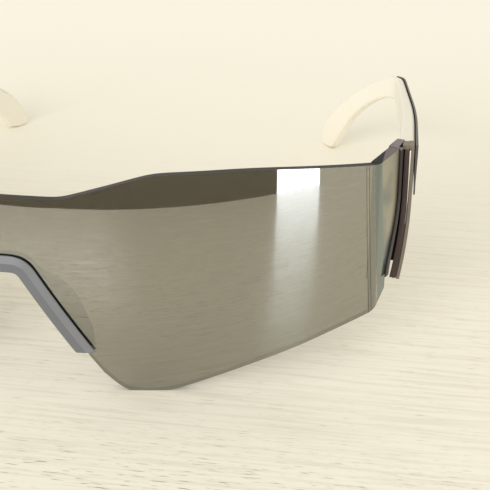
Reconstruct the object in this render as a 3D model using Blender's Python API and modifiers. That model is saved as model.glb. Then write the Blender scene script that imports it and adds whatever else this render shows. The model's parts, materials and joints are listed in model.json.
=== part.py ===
"""Rimless shield sunglasses at real size, with temples that fold.

+X is the wearer's left, the lens faces -Y, the temples run back towards +Y, and Z = 0 is the table that the
lens and the temple tips stand on. The lens is one shield, bowed both ways, that turns a sharp corner at each
side and ends in a wing. An endpiece grips each wing's rear edge and carries a five-knuckle hinge.
"""

import math

import bmesh
import bpy
import numpy as np
from mathutils import Matrix, Vector

# Lens: how it is bowed
LENS_THICKNESS = 0.0020
FACE_RADIUS = 0.1370  # the bow across the face, seen from above
UPRIGHT_RADIUS = 0.1120  # the bow from top to bottom
FOREMOST_HEIGHT = 0.0216
LENS_RAKE = math.radians(1.0)  # the top leans forward by this much
CORNER_HALF_WIDTH = 0.0627  # where the face ends and the corner bend starts
CORNER_RADIUS = 0.0022
WING_ANGLE = math.radians(72)  # the wing's turn from straight across
WING_LENGTH = 0.0079  # flat of the wing, from the bend to the rear edge at its fullest
REAR_EDGE_FALL = 0.0044  # how much shorter the wing is at its foot
REAR_EDGE_KNEE = 0.0299  # height where the rear edge starts to fall away
REAR_EDGE_HEEL = 0.0198  # height where it stands upright again
REAR_KNEE_FILLET = 0.020
REAR_HEEL_FILLET = 0.012

# Lens: its outline, as heights above the table at distances from the centre plane
CENTRE_TOP = 0.0375
CENTRE_FLAT_HALF = 0.0104
BROW_START_HALF = 0.0262
BROW_HEIGHT = 0.0420
BROW_PEAK_HALF = 0.0430
BROW_PEAK_HEIGHT = 0.0425
WING_TOP = 0.0416
ARCH_TOP = 0.0255  # lens edge at the middle of the nose arch
ARCH_FLAT_HALF = 0.0036
LOBE_KNEE_HALF = 0.0167  # the arch's flank eases here towards the lobe
LOBE_KNEE_HEIGHT = 0.00435
LOBE_INNER_HALF = 0.0209
LOBE_OUTER_HALF = 0.0278
FOOT_TRIM = 0.0003  # cut off flat below the lobes, so that the lens stands on a facet
CHEEK_HALF = 0.0500
CHEEK_HEIGHT = 0.0081
CORNER_FOOT_HEIGHT = 0.0137
WING_FOOT_HEIGHT = 0.0168
CENTRE_TOP_FILLET = 0.012
BROW_FILLET = 0.015
BROW_PEAK_FILLET = 0.150
ARCH_FILLET = 0.0062
KNEE_FILLET = 0.005
LOBE_INNER_FILLET = 0.004
LOBE_OUTER_FILLET = 0.020
CHEEK_FILLET = 0.040

# Nose piece: one rubber moulding that grips the arch and has a pad wing at each side
NOSE_END_HALF = 0.0139
NOSE_GAP = 0.0003
NOSE_OVERHANG = 0.0014  # rubber inside the lens edge
NOSE_FACE_PROUD = 0.00095
NOSE_LIP = 0.0016  # reach of the front lip over the lens
NOSE_LIP_EDGE = 0.0003
NOSE_BEVEL_START = 0.0003
NOSE_REAR_LIP = 0.0015
NOSE_REAR_WALL = 0.0008
PAD_DEPTH = 0.0043
PAD_THICKNESS = 0.0011
PAD_FLARE = 0.0013
PAD_ROOT_DEPTH = 0.0002
PAD_START_SHARE = 0.12
PAD_FULL_SHARE = 0.62
PAD_END_SHARE = 0.2  # of its depth, left at the end
NOSE_LEVEL_SHARE = 0.14  # of its length, over which the end turns to a level cut
NOSE_HEADING_SHARE = 0.25  # of a station's spacing, over which its heading is taken

# Endpiece: a bar that grips the wing's rear edge, with a block behind it for the hinge
CHANNEL_GAP = 0.0003
OUTER_LIP_GAP = 0.0002
LIP_THICKNESS = 0.00025
LIP_COVER = 0.0004
LIP_COVER_FOOT = 0.0007  # the lip covers more of the lens low down
BAR_WALL = 0.0003
INNER_LIP_THICKNESS = 0.0009
INNER_LIP_COVER = 0.0022
ENDPIECE_FOOT = 0.0192
BLOCK_LENGTH = 0.0050
BLOCK_INSET = 0.0017  # the block's outer face, below the lens's outer face
BLOCK_FOOT = 0.0205
BLOCK_RAMP = 0.0015
BLOCK_STUB = 0.0003  # what is left of the block below its foot
BLOCK_SHOULDER_SHARE = 0.25  # of the lens's thickness, for the step down to the block
TOP_FLANGE_THICKNESS = 0.0006
TOP_FLANGE_INSET = 0.0013
INNER_LIP_TOP = 0.0385  # above this the endpiece is flush with the lens's inner face
INNER_LIP_RAMP = 0.0008
ENDPIECE_TOP_STEP = 0.0001

# Hinge: five knuckles on an upright screw
HINGE_HEIGHT = 0.0090
HINGE_MIDDLE = 0.0315
KNUCKLE_COUNT = 5
KNUCKLE_GAP = 0.00025
KNUCKLE_RADIUS = 0.00135
LUG_ROOT_SHARE = 0.6  # of the leaf's thickness, for the root of each knuckle's tab
BORE_RADIUS = 0.00070
PIVOT_SCREW_RADIUS = 0.00060
PIVOT_HEAD_RADIUS = 0.00115
PIVOT_HEAD_HEIGHT = 0.0005
SCREW_SLOT_WIDTH = 0.0003
SCREW_SLOT_DEPTH = 0.00025
LEAF_THICKNESS = 0.0008
LEAF_LENGTH = 0.0052
LEAF_GAP = 0.0003
HINGE_CLEARANCE = 0.0003  # from a turning piece to a fixed one
LEAF_SCREW_RADIUS = 0.00045
LEAF_SCREW_HOLE = 0.00060
LEAF_SCREW_HEAD = 0.00090
LEAF_SCREW_HEAD_HEIGHT = 0.00035
LEAF_SCREW_DEPTH = 0.0013
LEAF_SCREW_SPACING = 0.0044
LEAF_SCREW_PLACE_SHARE = 2 / 3  # of the temple leaf's length, from its front end
SCREW_RIM_SHARE = 0.25  # of a screw head's height, for its rounded rim

# Temple: its front blade is three strips side by side, and the arm runs back to the tip
JOINT_GAP = 0.0004  # between the endpiece and the temple when it is open
BLADE_FOOT = 0.0163
BLADE_TOP = 0.0416
BLADE_SLANT = math.radians(5.7)  # the blade's front edge leans forward towards its foot
BLADE_DEPTH = 0.0025  # front to back, at the top
LAYER_GAP = 0.0002
INSERT_WIDTH = 0.00085
INSERT_FOOT_WIDTH = 0.0005
INSERT_RECESS = 0.0003
CAP_WALL = 0.0006
CAP_TOP_THICKNESS = 0.0007
CAP_TOP_REACH = 0.00035  # the cap's top wall, inwards over the insert
SKIN_THICKNESS = 0.0005
SKIN_THIN = 0.0003
SKIN_THIN_HEIGHT = 0.0330
SKIN_FOOT = 0.0325  # the skin's lower edge at the blade's front
LEAN_HEIGHT = 0.0325  # below this the blade curves inwards
LEAN_RADIUS = 0.0880
ARM_THICKNESS = 0.0026  # the pale core at the front
TIP_THICKNESS = 0.0024
ARM_WAIST_THICKNESS = 0.0016
ARM_CHAMFER = 0.0004
ARM_CHAMFER_LIMIT_SHARE = 1 / 3  # of the arm's height, at most
TEMPLE_REACH = 0.1085  # from the blade's front to the tip
TIP_INSET = 0.0282  # how far the tip turns in from the temple's outer face
FOLD_CORNER_INSET = 0.0022
EAR_INSET = 0.0077
ARM_FILLET = 0.400
EAR_FILLET = 0.013
TOP_LINE_FILLETS = (0.020, 0.060, 0.004)
LOWER_LINE_FILLETS = (0.006, 0.025, 0.020, 0.060, 0.003)

# Shares of the temple's reach or height, for the stations that its outline turns at
FOLD_CORNER_SHARE = 0.3005
EAR_SHARE = 0.6903
TOP_LINE_SHARES = ((0.0, 1.0), (0.733, 0.688), (0.862, 0.469), (0.981, 0.195), (1.0, 0.080))
LOWER_LINE_SHARES = (
    (0.0, 0.395), (0.052, 0.447), (0.227, 0.654), (0.733, 0.577), (0.868, 0.341), (0.967, 0.0), (1.0, 0.0))
SKIN_END_SHARE = 0.719
SKIN_RUNOUT_SHARE = 0.010

# How finely curves are divided
FACE_COLUMNS = 36
BEND_COLUMNS = 6
WING_COLUMNS = 3
LENS_ROWS = 10
FILLET_STEPS = 8
OUTLINE_SAMPLES = 400
NOSE_STATIONS = 24
ENDPIECE_STATIONS = 12
ARM_STATIONS = 36
ARM_ROWS = 5
TIP_CROWDING = 1.7  # how much closer the arm's stations are near its rounded tip
BLADE_STATIONS = 8
ROUND_SIDES = 18
SMALL_SCREW_SIDES = 12
CUT_OVERRUN = 0.001
MERGE_DISTANCE = 0.00001
SMOOTH_ANGLE = math.radians(35)  # a sharper edge than this stays an edge

COLLECTION_NAME = "shield_sunglasses"


def bow(radius, offset):
    """How far a circle falls away from its foremost point at this offset."""
    return radius - math.sqrt(radius * radius - offset * offset)


def smooth(share):
    """A share from 0 to 1, eased at both ends."""
    held = min(max(share, 0.0), 1.0)
    return held * held * (3 - 2 * held)


def mix(first, last, share):
    return first + (last - first) * share


def rounded(corners, radii):
    """A polyline through the corners, each inner one rounded by its radius as far as its sides allow."""
    points = [Vector(corners[0])]
    for before, corner, after, radius in zip(corners, corners[1:], corners[2:], radii):
        here = Vector(corner)
        back = Vector(before) - here
        ahead = Vector(after) - here
        half_turn = (math.pi - back.angle(ahead)) / 2
        reach = min(radius * math.tan(half_turn), back.length / 2, ahead.length / 2)
        start = here + back.normalized() * reach
        end = here + ahead.normalized() * reach
        for step in range(FILLET_STEPS + 1):
            share = step / FILLET_STEPS
            points.append(start.lerp(here, share).lerp(here.lerp(end, share), share))
    points.append(Vector(corners[-1]))
    return points


def height_along(outline, place):
    """The outline's second coordinate at this place along its first."""
    return float(np.interp(place, [point.x for point in outline], [point.y for point in outline]))


# The lens as a surface: run is the distance round it from the centre plane, depth is below its outer face
FACE_ANGLE = math.asin(CORNER_HALF_WIDTH / FACE_RADIUS)
FACE_RUN = FACE_RADIUS * FACE_ANGLE
BEND_RUN = CORNER_RADIUS * (WING_ANGLE - FACE_ANGLE)
WING_START = FACE_RUN + BEND_RUN


def plan_point(run):
    """Where the lens's outer face is in plan at this run, and which way it heads there."""
    if run <= FACE_RUN:
        angle = run / FACE_RADIUS
        return Vector((FACE_RADIUS * math.sin(angle), FACE_RADIUS * (1 - math.cos(angle)))), angle
    x = FACE_RADIUS * math.sin(FACE_ANGLE)
    y = FACE_RADIUS * (1 - math.cos(FACE_ANGLE))
    angle = min(FACE_ANGLE + (run - FACE_RUN) / CORNER_RADIUS, WING_ANGLE)
    x += CORNER_RADIUS * (math.sin(angle) - math.sin(FACE_ANGLE))
    y += CORNER_RADIUS * (math.cos(FACE_ANGLE) - math.cos(angle))
    straight = max(run - WING_START, 0.0)
    return Vector((x + straight * math.cos(angle), y + straight * math.sin(angle))), angle


def set_back(height):
    """How far behind its foremost point the lens is at this height."""
    rise = height - FOREMOST_HEIGHT
    return bow(UPRIGHT_RADIUS, rise) - math.tan(LENS_RAKE) * rise


def lens_point(run, height, depth=0.0):
    """A point at this run, height and depth below the lens's outer face."""
    plan, angle = plan_point(run)
    rise = height - FOREMOST_HEIGHT
    slope = rise / math.sqrt(UPRIGHT_RADIUS ** 2 - rise ** 2) - math.tan(LENS_RAKE)
    along = Vector((math.cos(angle), math.sin(angle), 0))
    upward = Vector((0, slope, 1))
    outward = along.cross(upward).normalized()
    return Vector((plan.x, plan.y + set_back(height), height)) - outward * depth


def run_of(half_width):
    """The run of a place on the face, from its distance to the centre plane."""
    return FACE_RADIUS * math.asin(half_width / FACE_RADIUS)


UPPER_EDGE = rounded(
    [(0, CENTRE_TOP), (CENTRE_FLAT_HALF, CENTRE_TOP), (BROW_START_HALF, BROW_HEIGHT),
     (BROW_PEAK_HALF, BROW_PEAK_HEIGHT), (CORNER_HALF_WIDTH, WING_TOP)],
    [CENTRE_TOP_FILLET, BROW_FILLET, BROW_PEAK_FILLET])
LOWER_EDGE = rounded(
    [(0, ARCH_TOP), (ARCH_FLAT_HALF, ARCH_TOP), (LOBE_KNEE_HALF, LOBE_KNEE_HEIGHT),
     (LOBE_INNER_HALF, -FOOT_TRIM), (LOBE_OUTER_HALF, -FOOT_TRIM), (CHEEK_HALF, CHEEK_HEIGHT),
     (CORNER_HALF_WIDTH, CORNER_FOOT_HEIGHT)],
    [ARCH_FILLET, KNEE_FILLET, LOBE_INNER_FILLET, LOBE_OUTER_FILLET, CHEEK_FILLET])
REAR_EDGE = rounded(
    [(0, WING_LENGTH - REAR_EDGE_FALL), (REAR_EDGE_HEEL, WING_LENGTH - REAR_EDGE_FALL),
     (REAR_EDGE_KNEE, WING_LENGTH), (BROW_PEAK_HEIGHT, WING_LENGTH)],
    [REAR_HEEL_FILLET, REAR_KNEE_FILLET])


def rear_reach(height):
    """The wing's flat length at this height, which its rear edge sets."""
    return height_along(REAR_EDGE, height)


def clear_scene():
    for old in list(bpy.data.objects):
        bpy.data.objects.remove(old, do_unlink=True)


def make_collection(name):
    collection = bpy.data.collections.new(name)
    bpy.context.scene.collection.children.link(collection)
    return collection


def make_material(name, colour, roughness, metallic=0.0, alpha=1.0):
    material = bpy.data.materials.new(name)
    material.use_nodes = True
    shader = material.node_tree.nodes["Principled BSDF"]
    shader.inputs["Base Color"].default_value = (*colour, 1.0)
    shader.inputs["Roughness"].default_value = roughness
    shader.inputs["Metallic"].default_value = metallic
    shader.inputs["Alpha"].default_value = alpha
    return material


class Workshop:
    """The collections, materials and parents that the pieces are put into."""

    def __init__(self):
        self.parts = make_collection(COLLECTION_NAME)
        self.cutters = make_collection(COLLECTION_NAME + "_cutters")
        self.materials = {
            "lens": make_material("smoke_mirror_lens", (0.30, 0.29, 0.24), 0.06, 0.55, 0.85),
            "nose": make_material("grey_rubber", (0.21, 0.23, 0.25), 0.55),
            "endpiece": make_material("brown_nylon", (0.045, 0.032, 0.030), 0.35),
            "steel": make_material("hinge_steel", (0.55, 0.54, 0.52), 0.28, 1.0),
            "arm": make_material("cream_nylon", (0.86, 0.82, 0.72), 0.45),
            "skin": make_material("slate_nylon", (0.075, 0.085, 0.085), 0.38),
            "cap": make_material("taupe_metal", (0.30, 0.27, 0.23), 0.30, 0.8),
            "insert": make_material("brown_insert", (0.060, 0.040, 0.036), 0.40),
        }

    def empty(self, name, parent, location):
        frame = bpy.data.objects.new(name, None)
        frame.parent = parent
        frame.location = location
        self.parts.objects.link(frame)
        return frame

    def add(self, name, mesh, material, parent, origin=None):
        """A mesh drawn in the glasses' frame becomes a piece under its parent, which stands at origin."""
        if origin is not None:
            mesh.transform(Matrix.Translation(-Vector(origin)))
        piece = bpy.data.objects.new(name, mesh)
        piece.parent = parent
        mesh.materials.append(self.materials[material])
        self.parts.objects.link(piece)
        return piece

    def cutter(self, name, mesh, parent, origin=None):
        if origin is not None:
            mesh.transform(Matrix.Translation(-Vector(origin)))
        tool = bpy.data.objects.new(name, mesh)
        tool.parent = parent
        tool.hide_render = True
        tool.display_type = "WIRE"
        self.cutters.objects.link(tool)
        return tool


def finish_mesh(name, shape, smooth_angle=None):
    """A bmesh becomes a mesh with its faces pointing out."""
    bmesh.ops.recalc_face_normals(shape, faces=shape.faces)
    mesh = bpy.data.meshes.new(name)
    shape.to_mesh(mesh)
    shape.free()
    if smooth_angle:
        mesh.shade_smooth()
        mesh.set_sharp_from_angle(angle=smooth_angle)
    return mesh


def join_rings(shape, rings):
    """Faces between each ring of vertices and the next."""
    for ring, following in zip(rings, rings[1:]):
        for index in range(len(ring)):
            ahead = (index + 1) % len(ring)
            shape.faces.new((ring[index], ring[ahead], following[ahead], following[index]))


def placed_along(start, direction, side):
    """The move that takes a shape from the origin to start, and its Z axis to this direction."""
    heading = Vector((side * direction[0], direction[1], direction[2]))
    turn = Vector((0, 0, 1)).rotation_difference(heading).to_matrix().to_4x4()
    return Matrix.Translation((side * start[0], start[1], start[2])) @ turn


def loft_mesh(name, rings, side=1):
    """A closed solid through rings of points, drawn for the wearer's left and mirrored where side is -1."""
    shape = bmesh.new()
    loops = [[shape.verts.new((side * point[0], point[1], point[2])) for point in ring] for ring in rings]
    join_rings(shape, loops)
    shape.faces.new(loops[0])
    shape.faces.new(loops[-1])
    return finish_mesh(name, shape, SMOOTH_ANGLE)


def box_mesh(name, centre, size, turn, side=1):
    """A box with its centre, its size and its turn about the vertical."""
    shape = bmesh.new()
    bmesh.ops.create_cube(shape, size=1.0)
    place = Matrix.Translation((side * centre[0], centre[1], centre[2]))
    matrix = place @ Matrix.Rotation(side * turn, 4, "Z") @ Matrix.Diagonal((*size, 1))
    bmesh.ops.transform(shape, matrix=matrix, verts=shape.verts)
    return finish_mesh(name, shape)


def rod_mesh(name, start, end, radius, side=1, sides=ROUND_SIDES):
    """A cylinder from start to end."""
    first = Vector((side * start[0], start[1], start[2]))
    last = Vector((side * end[0], end[1], end[2]))
    shape = bmesh.new()
    bmesh.ops.create_cone(
        shape, cap_ends=True, segments=sides, radius1=radius, radius2=radius, depth=(last - first).length)
    turn = Vector((0, 0, 1)).rotation_difference(last - first).to_matrix().to_4x4()
    bmesh.ops.transform(shape, matrix=Matrix.Translation((first + last) / 2) @ turn, verts=shape.verts)
    return finish_mesh(name, shape, SMOOTH_ANGLE)


def turned_mesh(name, profile, start, direction, side=1, sides=ROUND_SIDES):
    """A solid turned about an axis: the profile lists its radius at distances along it, ends closed."""
    shape = bmesh.new()
    rings = []
    for radius, distance in profile:
        ring = []
        for step in range(sides):
            angle = 2 * math.pi * step / sides
            ring.append(shape.verts.new((radius * math.cos(angle), radius * math.sin(angle), distance)))
        rings.append(ring)
    join_rings(shape, rings)
    shape.faces.new(rings[0])
    shape.faces.new(rings[-1])
    bmesh.ops.transform(shape, matrix=placed_along(start, direction, side), verts=shape.verts)
    return finish_mesh(name, shape, SMOOTH_ANGLE)


def boolean(piece, tool, operation):
    modifier = piece.modifiers.new(operation.lower() + "_" + tool.name, "BOOLEAN")
    modifier.operation = operation
    modifier.solver = "EXACT"
    modifier.object = tool


def face_columns():
    """Places across the face at even steps along the lower edge, so that the steep arch is as fine."""
    places = np.linspace(0, CORNER_HALF_WIDTH, OUTLINE_SAMPLES)
    heights = np.array([height_along(LOWER_EDGE, place) for place in places])
    lengths = np.concatenate([[0], np.cumsum(np.hypot(np.diff(places), np.diff(heights)))])
    return np.interp(np.linspace(0, lengths[-1], FACE_COLUMNS + 1), lengths, places)


def build_lens(workshop, front):
    """The shield: a half sheet of columns, mirrored and thickened."""
    columns = []
    for place in face_columns():
        low = height_along(LOWER_EDGE, place)
        high = height_along(UPPER_EDGE, place)
        columns.append([(run_of(place), mix(low, high, row / LENS_ROWS)) for row in range(LENS_ROWS + 1)])
    foot_reach = rear_reach(WING_FOOT_HEIGHT)
    bend_foot = mix(CORNER_FOOT_HEIGHT, WING_FOOT_HEIGHT, BEND_RUN / (BEND_RUN + foot_reach))
    for step in range(1, BEND_COLUMNS + 1):
        share = step / BEND_COLUMNS
        low = mix(CORNER_FOOT_HEIGHT, bend_foot, share)
        run = FACE_RUN + BEND_RUN * share
        columns.append([(run, mix(low, WING_TOP, row / LENS_ROWS)) for row in range(LENS_ROWS + 1)])
    for step in range(1, WING_COLUMNS + 1):
        share = step / WING_COLUMNS
        low = mix(bend_foot, WING_FOOT_HEIGHT, share)
        heights = [mix(low, WING_TOP, row / LENS_ROWS) for row in range(LENS_ROWS + 1)]
        columns.append([(WING_START + rear_reach(height) * share, height) for height in heights])
    shape = bmesh.new()
    grid = [[shape.verts.new(lens_point(run, height)) for run, height in column] for column in columns]
    for column, following in zip(grid, grid[1:]):
        for row in range(LENS_ROWS):
            shape.faces.new((column[row], following[row], following[row + 1], column[row + 1]))
    mesh = bpy.data.meshes.new("shield_lens")
    shape.to_mesh(mesh)
    shape.free()
    mesh.shade_smooth()
    mesh.set_sharp_from_angle(angle=SMOOTH_ANGLE)
    lens = workshop.add("shield_lens", mesh, "lens", front)
    mirror = lens.modifiers.new("other_half", "MIRROR")
    mirror.merge_threshold = MERGE_DISTANCE
    wall = lens.modifiers.new("wall", "SOLIDIFY")
    wall.thickness = LENS_THICKNESS
    wall.offset = -1
    wall.use_even_offset = True
    middle = lens_point(run_of(LOBE_OUTER_HALF), 0, LENS_THICKNESS / 2)
    size = (2 * CORNER_HALF_WIDTH, 2 * CUT_OVERRUN + LENS_THICKNESS + middle.y, 2 * CUT_OVERRUN)
    name = "shield_lens_floor"
    floor = workshop.cutter(name, box_mesh(name, (0, middle.y, -CUT_OVERRUN), size, 0), front)
    boolean(lens, floor, "DIFFERENCE")
    return lens


def nose_section(pad_depth):
    """The nose piece's section as (across, depth) pairs: across runs into the lens from its edge."""
    inside = LENS_THICKNESS + NOSE_GAP
    rear = inside + NOSE_REAR_WALL
    tip = rear + pad_depth
    flare = PAD_FLARE * pad_depth / PAD_DEPTH
    inner = -NOSE_OVERHANG
    pad_root = NOSE_REAR_LIP / 2
    return [
        (inner, -NOSE_FACE_PROUD + NOSE_LIP_EDGE),
        (inner + NOSE_LIP_EDGE, -NOSE_FACE_PROUD),
        (NOSE_BEVEL_START, -NOSE_FACE_PROUD),
        (NOSE_LIP, -NOSE_GAP - NOSE_LIP_EDGE),
        (NOSE_LIP, -NOSE_GAP),
        (-NOSE_GAP, -NOSE_GAP),
        (-NOSE_GAP, inside),
        (NOSE_REAR_LIP, inside),
        (NOSE_REAR_LIP, rear),
        (pad_root, rear),
        (pad_root + flare, tip),
        (pad_root + flare - PAD_THICKNESS, tip),
        (inner, rear - NOSE_REAR_WALL),
    ]


def pad_growth(share):
    """How much of its full depth the pad has here: it eases in from the bridge and rounds off at its end."""
    if share < PAD_FULL_SHARE:
        return smooth((share - PAD_START_SHARE) / (PAD_FULL_SHARE - PAD_START_SHARE))
    past = (share - PAD_FULL_SHARE) / (1 - PAD_FULL_SHARE)
    return math.sqrt(max(1 - past * past, PAD_END_SHARE ** 2))


def point_along(line, lengths, length):
    """The point at this length along a line, whose points lie at these lengths."""
    return Vector([np.interp(length, lengths, [point[axis] for point in line]) for axis in range(2)])


def build_nose_piece(workshop, front):
    """The rubber strip swept along the arch, with its pad wings growing out of its back."""
    arch = [point for point in LOWER_EDGE if point.x < NOSE_END_HALF]
    arch.append(Vector((NOSE_END_HALF, height_along(LOWER_EDGE, NOSE_END_HALF))))
    lengths = np.concatenate([[0], np.cumsum([(b - a).length for a, b in zip(arch, arch[1:])])])
    rings = []
    for station in range(NOSE_STATIONS + 1):
        share = station / NOSE_STATIONS
        length = lengths[-1] * share
        step = lengths[-1] / NOSE_STATIONS * NOSE_HEADING_SHARE
        place = point_along(arch, lengths, length)
        before = point_along(arch, lengths, max(length - step, 0))
        after = point_along(arch, lengths, length + step)
        heading = (after - before).normalized() if station else Vector((1, 0))
        across = Vector((-heading.y, heading.x))
        level = smooth((share - 1 + NOSE_LEVEL_SHARE) / NOSE_LEVEL_SHARE)
        if level:
            across = across.lerp(Vector((1 / across.x, 0)), level)
        pad_depth = mix(PAD_ROOT_DEPTH, PAD_DEPTH, pad_growth(share))
        ring = []
        for offset, depth in nose_section(pad_depth):
            flat = place + across * offset
            ring.append(lens_point(math.copysign(run_of(abs(flat.x)), flat.x), flat.y, depth))
        rings.append(ring)
    shape = bmesh.new()
    loops = [[shape.verts.new(point) for point in ring] for ring in rings]
    for vertex in loops[0]:
        vertex.co.x = 0
    join_rings(shape, loops)
    shape.faces.new(loops[-1])
    mesh = finish_mesh("nose_piece", shape, SMOOTH_ANGLE)
    piece = workshop.add("nose_piece", mesh, "nose", front)
    mirror = piece.modifiers.new("other_half", "MIRROR")
    mirror.merge_threshold = MERGE_DISTANCE
    return piece


def wing_point(run, height, depth=0.0):
    """A point beside the wing whose place in plan doesn't change with height, for the upright faces."""
    plan = lens_point(run, HINGE_MIDDLE, depth)
    return Vector((plan.x, plan.y, height))


def wing_shift(height):
    """How far along itself the wing has moved at this height, from where it is at the hinge."""
    return (set_back(height) - set_back(HINGE_MIDDLE)) * math.sin(WING_ANGLE)


def lip_cover(height):
    """How far the outer lip reaches over the lens at this height."""
    fallen = (WING_LENGTH - rear_reach(height)) / REAR_EDGE_FALL
    return mix(LIP_COVER, LIP_COVER_FOOT, fallen)


def endpiece_section(height, grown, block_inset):
    """The endpiece's section in plan: a channel that follows the lens, and an upright block behind it."""
    edge = WING_START + rear_reach(height)
    front_outer = edge - lip_cover(height)
    back = edge + CHANNEL_GAP + BAR_WALL
    outer = -OUTER_LIP_GAP - LIP_THICKNESS
    stub = back + wing_shift(height) + BLOCK_STUB
    block_end = mix(stub, ENDPIECE_BACK, grown)
    bare = smooth((height - INNER_LIP_TOP) / INNER_LIP_RAMP)
    inner = LENS_THICKNESS + CHANNEL_GAP
    flush = inner + wing_shift(height) / math.tan(WING_ANGLE)
    inside = mix(ENDPIECE_INSIDE, flush, bare)
    slot = edge + CHANNEL_GAP
    lip_end = mix(edge - INNER_LIP_COVER, slot + BAR_WALL / 2, bare)
    return [
        lens_point(front_outer, height, outer),
        lens_point(back, height, outer),
        lens_point(back, height, min(block_inset, LENS_THICKNESS * BLOCK_SHOULDER_SHARE)),
        wing_point(block_end, height, block_inset),
        wing_point(block_end, height, inside),
        wing_point(mix(lip_end, back, bare) + wing_shift(height), height, inside),
        lens_point(lip_end, height, inner),
        lens_point(slot, height, inner),
        lens_point(slot, height, -OUTER_LIP_GAP),
        lens_point(front_outer, height, -OUTER_LIP_GAP),
    ]


ENDPIECE_BACK = WING_START + WING_LENGTH + CHANNEL_GAP + BAR_WALL + BLOCK_LENGTH
ENDPIECE_INSIDE = LENS_THICKNESS + CHANNEL_GAP + INNER_LIP_THICKNESS


def endpiece_rings():
    """Sections from the foot to the top: a slim bar, then a ramp out to the block, then the top flange."""
    flange_foot = BLADE_TOP - TOP_FLANGE_THICKNESS
    shares = [step / ENDPIECE_STATIONS for step in range(ENDPIECE_STATIONS + 1)]
    heights = [mix(ENDPIECE_FOOT, INNER_LIP_TOP, share) for share in shares]
    heights += [INNER_LIP_TOP + INNER_LIP_RAMP, flange_foot]
    rings = []
    for height in heights:
        grown = smooth((height - BLOCK_FOOT) / BLOCK_RAMP)
        rings.append(endpiece_section(height, grown, BLOCK_INSET + lean(BLADE_REAR, height)))
    for height in (flange_foot + ENDPIECE_TOP_STEP, BLADE_TOP):
        rings.append(endpiece_section(height, 1.0, TOP_FLANGE_INSET))
    return rings


def wing_heading():
    """The way the wing runs in plan, towards its rear edge."""
    return Vector((math.cos(WING_ANGLE), math.sin(WING_ANGLE), 0))


def wing_outward():
    """The way the wing's outer face looks in plan."""
    heading = wing_heading()
    return Vector((heading.y, -heading.x, 0))


def pivot_place():
    """The hinge's axis in plan: half the joint's gap behind the endpiece, and clear of its inside."""
    rear = wing_point(ENDPIECE_BACK, 0, ENDPIECE_INSIDE)
    inward_step = KNUCKLE_RADIUS + HINGE_CLEARANCE
    place = rear + wing_heading() * (JOINT_GAP / 2) - wing_outward() * inward_step
    return Vector((place.x, place.y, 0))


PIVOT = pivot_place()
HINGE_FOOT = HINGE_MIDDLE - HINGE_HEIGHT / 2
KNUCKLE_PITCH = HINGE_HEIGHT / KNUCKLE_COUNT


def lug_mesh(name, root, across, low, high, side):
    """A knuckle and its tab in one: the hull, seen from above, of the knuckle's round and the tab's root."""
    outline = [root - across, root + across]
    for step in range(ROUND_SIDES):
        angle = 2 * math.pi * step / ROUND_SIDES
        turned = Vector((math.cos(angle), math.sin(angle), 0)) * KNUCKLE_RADIUS
        outline.append(Vector((PIVOT.x, PIVOT.y, 0)) + turned)
    shape = bmesh.new()
    for height in (low, high):
        for point in outline:
            shape.verts.new((side * point.x, point.y, height))
    hull = bmesh.ops.convex_hull(shape, input=shape.verts)
    bmesh.ops.delete(shape, geom=hull["geom_interior"], context="VERTS")
    return finish_mesh(name, shape, SMOOTH_ANGLE)


def add_knuckles(workshop, leaf, name, parent, origin, side, first, root, inward):
    """Joins every other knuckle to a leaf at this root, then bores them all."""
    across = inward * (LEAF_THICKNESS * LUG_ROOT_SHARE / 2)
    for index in range(first, KNUCKLE_COUNT, 2):
        low = HINGE_FOOT + KNUCKLE_PITCH * index + KNUCKLE_GAP / 2
        lug = lug_mesh(f"{name}_lug", root, across, low, low + KNUCKLE_PITCH - KNUCKLE_GAP, side)
        boolean(leaf, workshop.cutter(f"{name}_lug_{index}", lug, parent, origin), "UNION")
    bore = rod_mesh(
        name + "_bore",
        (PIVOT.x, PIVOT.y, HINGE_FOOT - CUT_OVERRUN),
        (PIVOT.x, PIVOT.y, HINGE_FOOT + HINGE_HEIGHT + CUT_OVERRUN),
        BORE_RADIUS, side)
    boolean(leaf, workshop.cutter(name + "_bore", bore, parent, origin), "DIFFERENCE")


def screw_heights():
    """The heights of a leaf's lower and upper screw."""
    return [HINGE_MIDDLE - LEAF_SCREW_SPACING / 2, HINGE_MIDDLE + LEAF_SCREW_SPACING / 2]


def screw_profile(head_radius, head_height, shank_radius, length):
    """A cheese-head screw's radii along its axis from the head's top to the shank's end."""
    rim = head_height * SCREW_RIM_SHARE
    return [
        (head_radius - rim, 0), (head_radius, rim), (head_radius, head_height),
        (shank_radius, head_height), (shank_radius, length - shank_radius / 2), (shank_radius / 2, length)]


def add_screw(workshop, name, parent, origin, side, top, direction, profile, slot_turn):
    """A screw with its slot cut across the head, its head's top at this point."""
    head_radius = max(radius for radius, _ in profile)
    sides = SMALL_SCREW_SIDES if head_radius < PIVOT_HEAD_RADIUS else ROUND_SIDES
    body = turned_mesh(name, profile, top, direction, side, sides)
    screw = workshop.add(name, body, "steel", parent, origin)
    shape = bmesh.new()
    bmesh.ops.create_cube(shape, size=1.0)
    width = 2 * (head_radius + CUT_OVERRUN)
    size = Matrix.Diagonal((width, SCREW_SLOT_WIDTH, 2 * SCREW_SLOT_DEPTH, 1))
    matrix = placed_along(top, direction, side) @ Matrix.Rotation(slot_turn, 4, "Z") @ size
    bmesh.ops.transform(shape, matrix=matrix, verts=shape.verts)
    slot = workshop.cutter(name + "_slot", finish_mesh(name + "_slot", shape), parent, origin)
    boolean(screw, slot, "DIFFERENCE")
    return screw


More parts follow.
